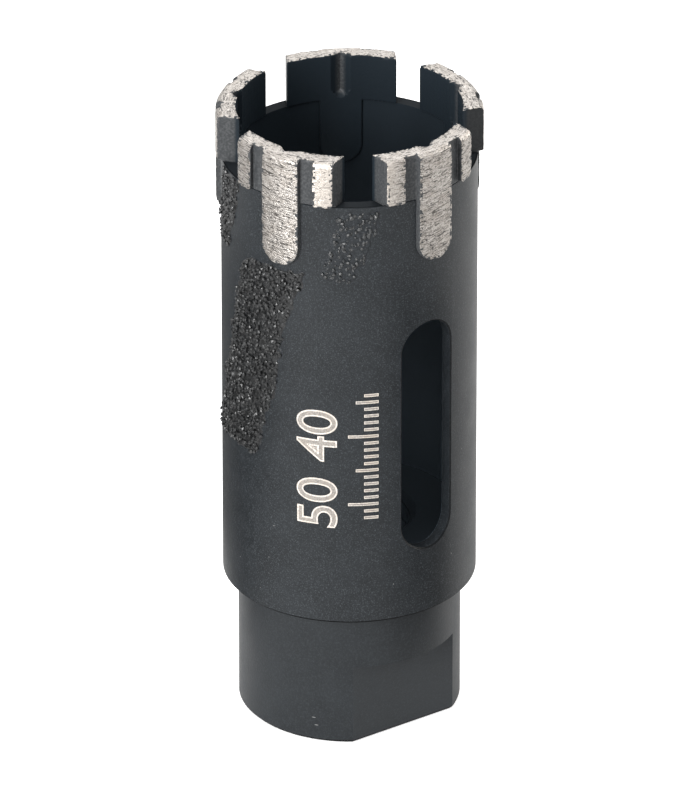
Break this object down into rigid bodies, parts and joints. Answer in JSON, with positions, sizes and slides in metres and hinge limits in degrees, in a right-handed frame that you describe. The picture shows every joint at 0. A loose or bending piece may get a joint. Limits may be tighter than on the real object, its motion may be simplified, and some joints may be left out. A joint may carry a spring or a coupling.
{
  "type": "diamond core bit",
  "caption": "Short diamond core bit: slotted steel barrel with a notched sintered crown, slanted grit strips on its side and a threaded hub with wrench flats.",
  "frame": {"origin": "on the axis, at the hub's lower face, which is the bottom of the part", "axes": "+Z along the axis from the spindle thread to the cutting crown; -Y is the side that the barrel's slot faces"},
  "size_m": [0.035, 0.0348, 0.0869],
  "materials": {
    "black_paint": "satin black paint on steel, with a fine orange-peel texture",
    "sintered_metal": "ground bare on the top and on the proud legs, with fine grinding streaks and pits, and black paint in the channels, on the ends and inside",
    "grit": "coarse brazed abrasive grit under black paint"
  },
  "bodies": {
    "root": {"barrel": "black_paint", "threaded_hub": "black_paint", "segment_1": "sintered_metal", "segment_2": "sintered_metal", "segment_3": "sintered_metal", "segment_4": "sintered_metal", "segment_5": "sintered_metal", "grit_strip_1": "grit", "grit_strip_2": "grit", "grit_patch_1": "grit", "grit_patch_2": "grit", "grit_patch_3": "grit", "grit_patch_4": "grit"}
  },
  "joints": []
}
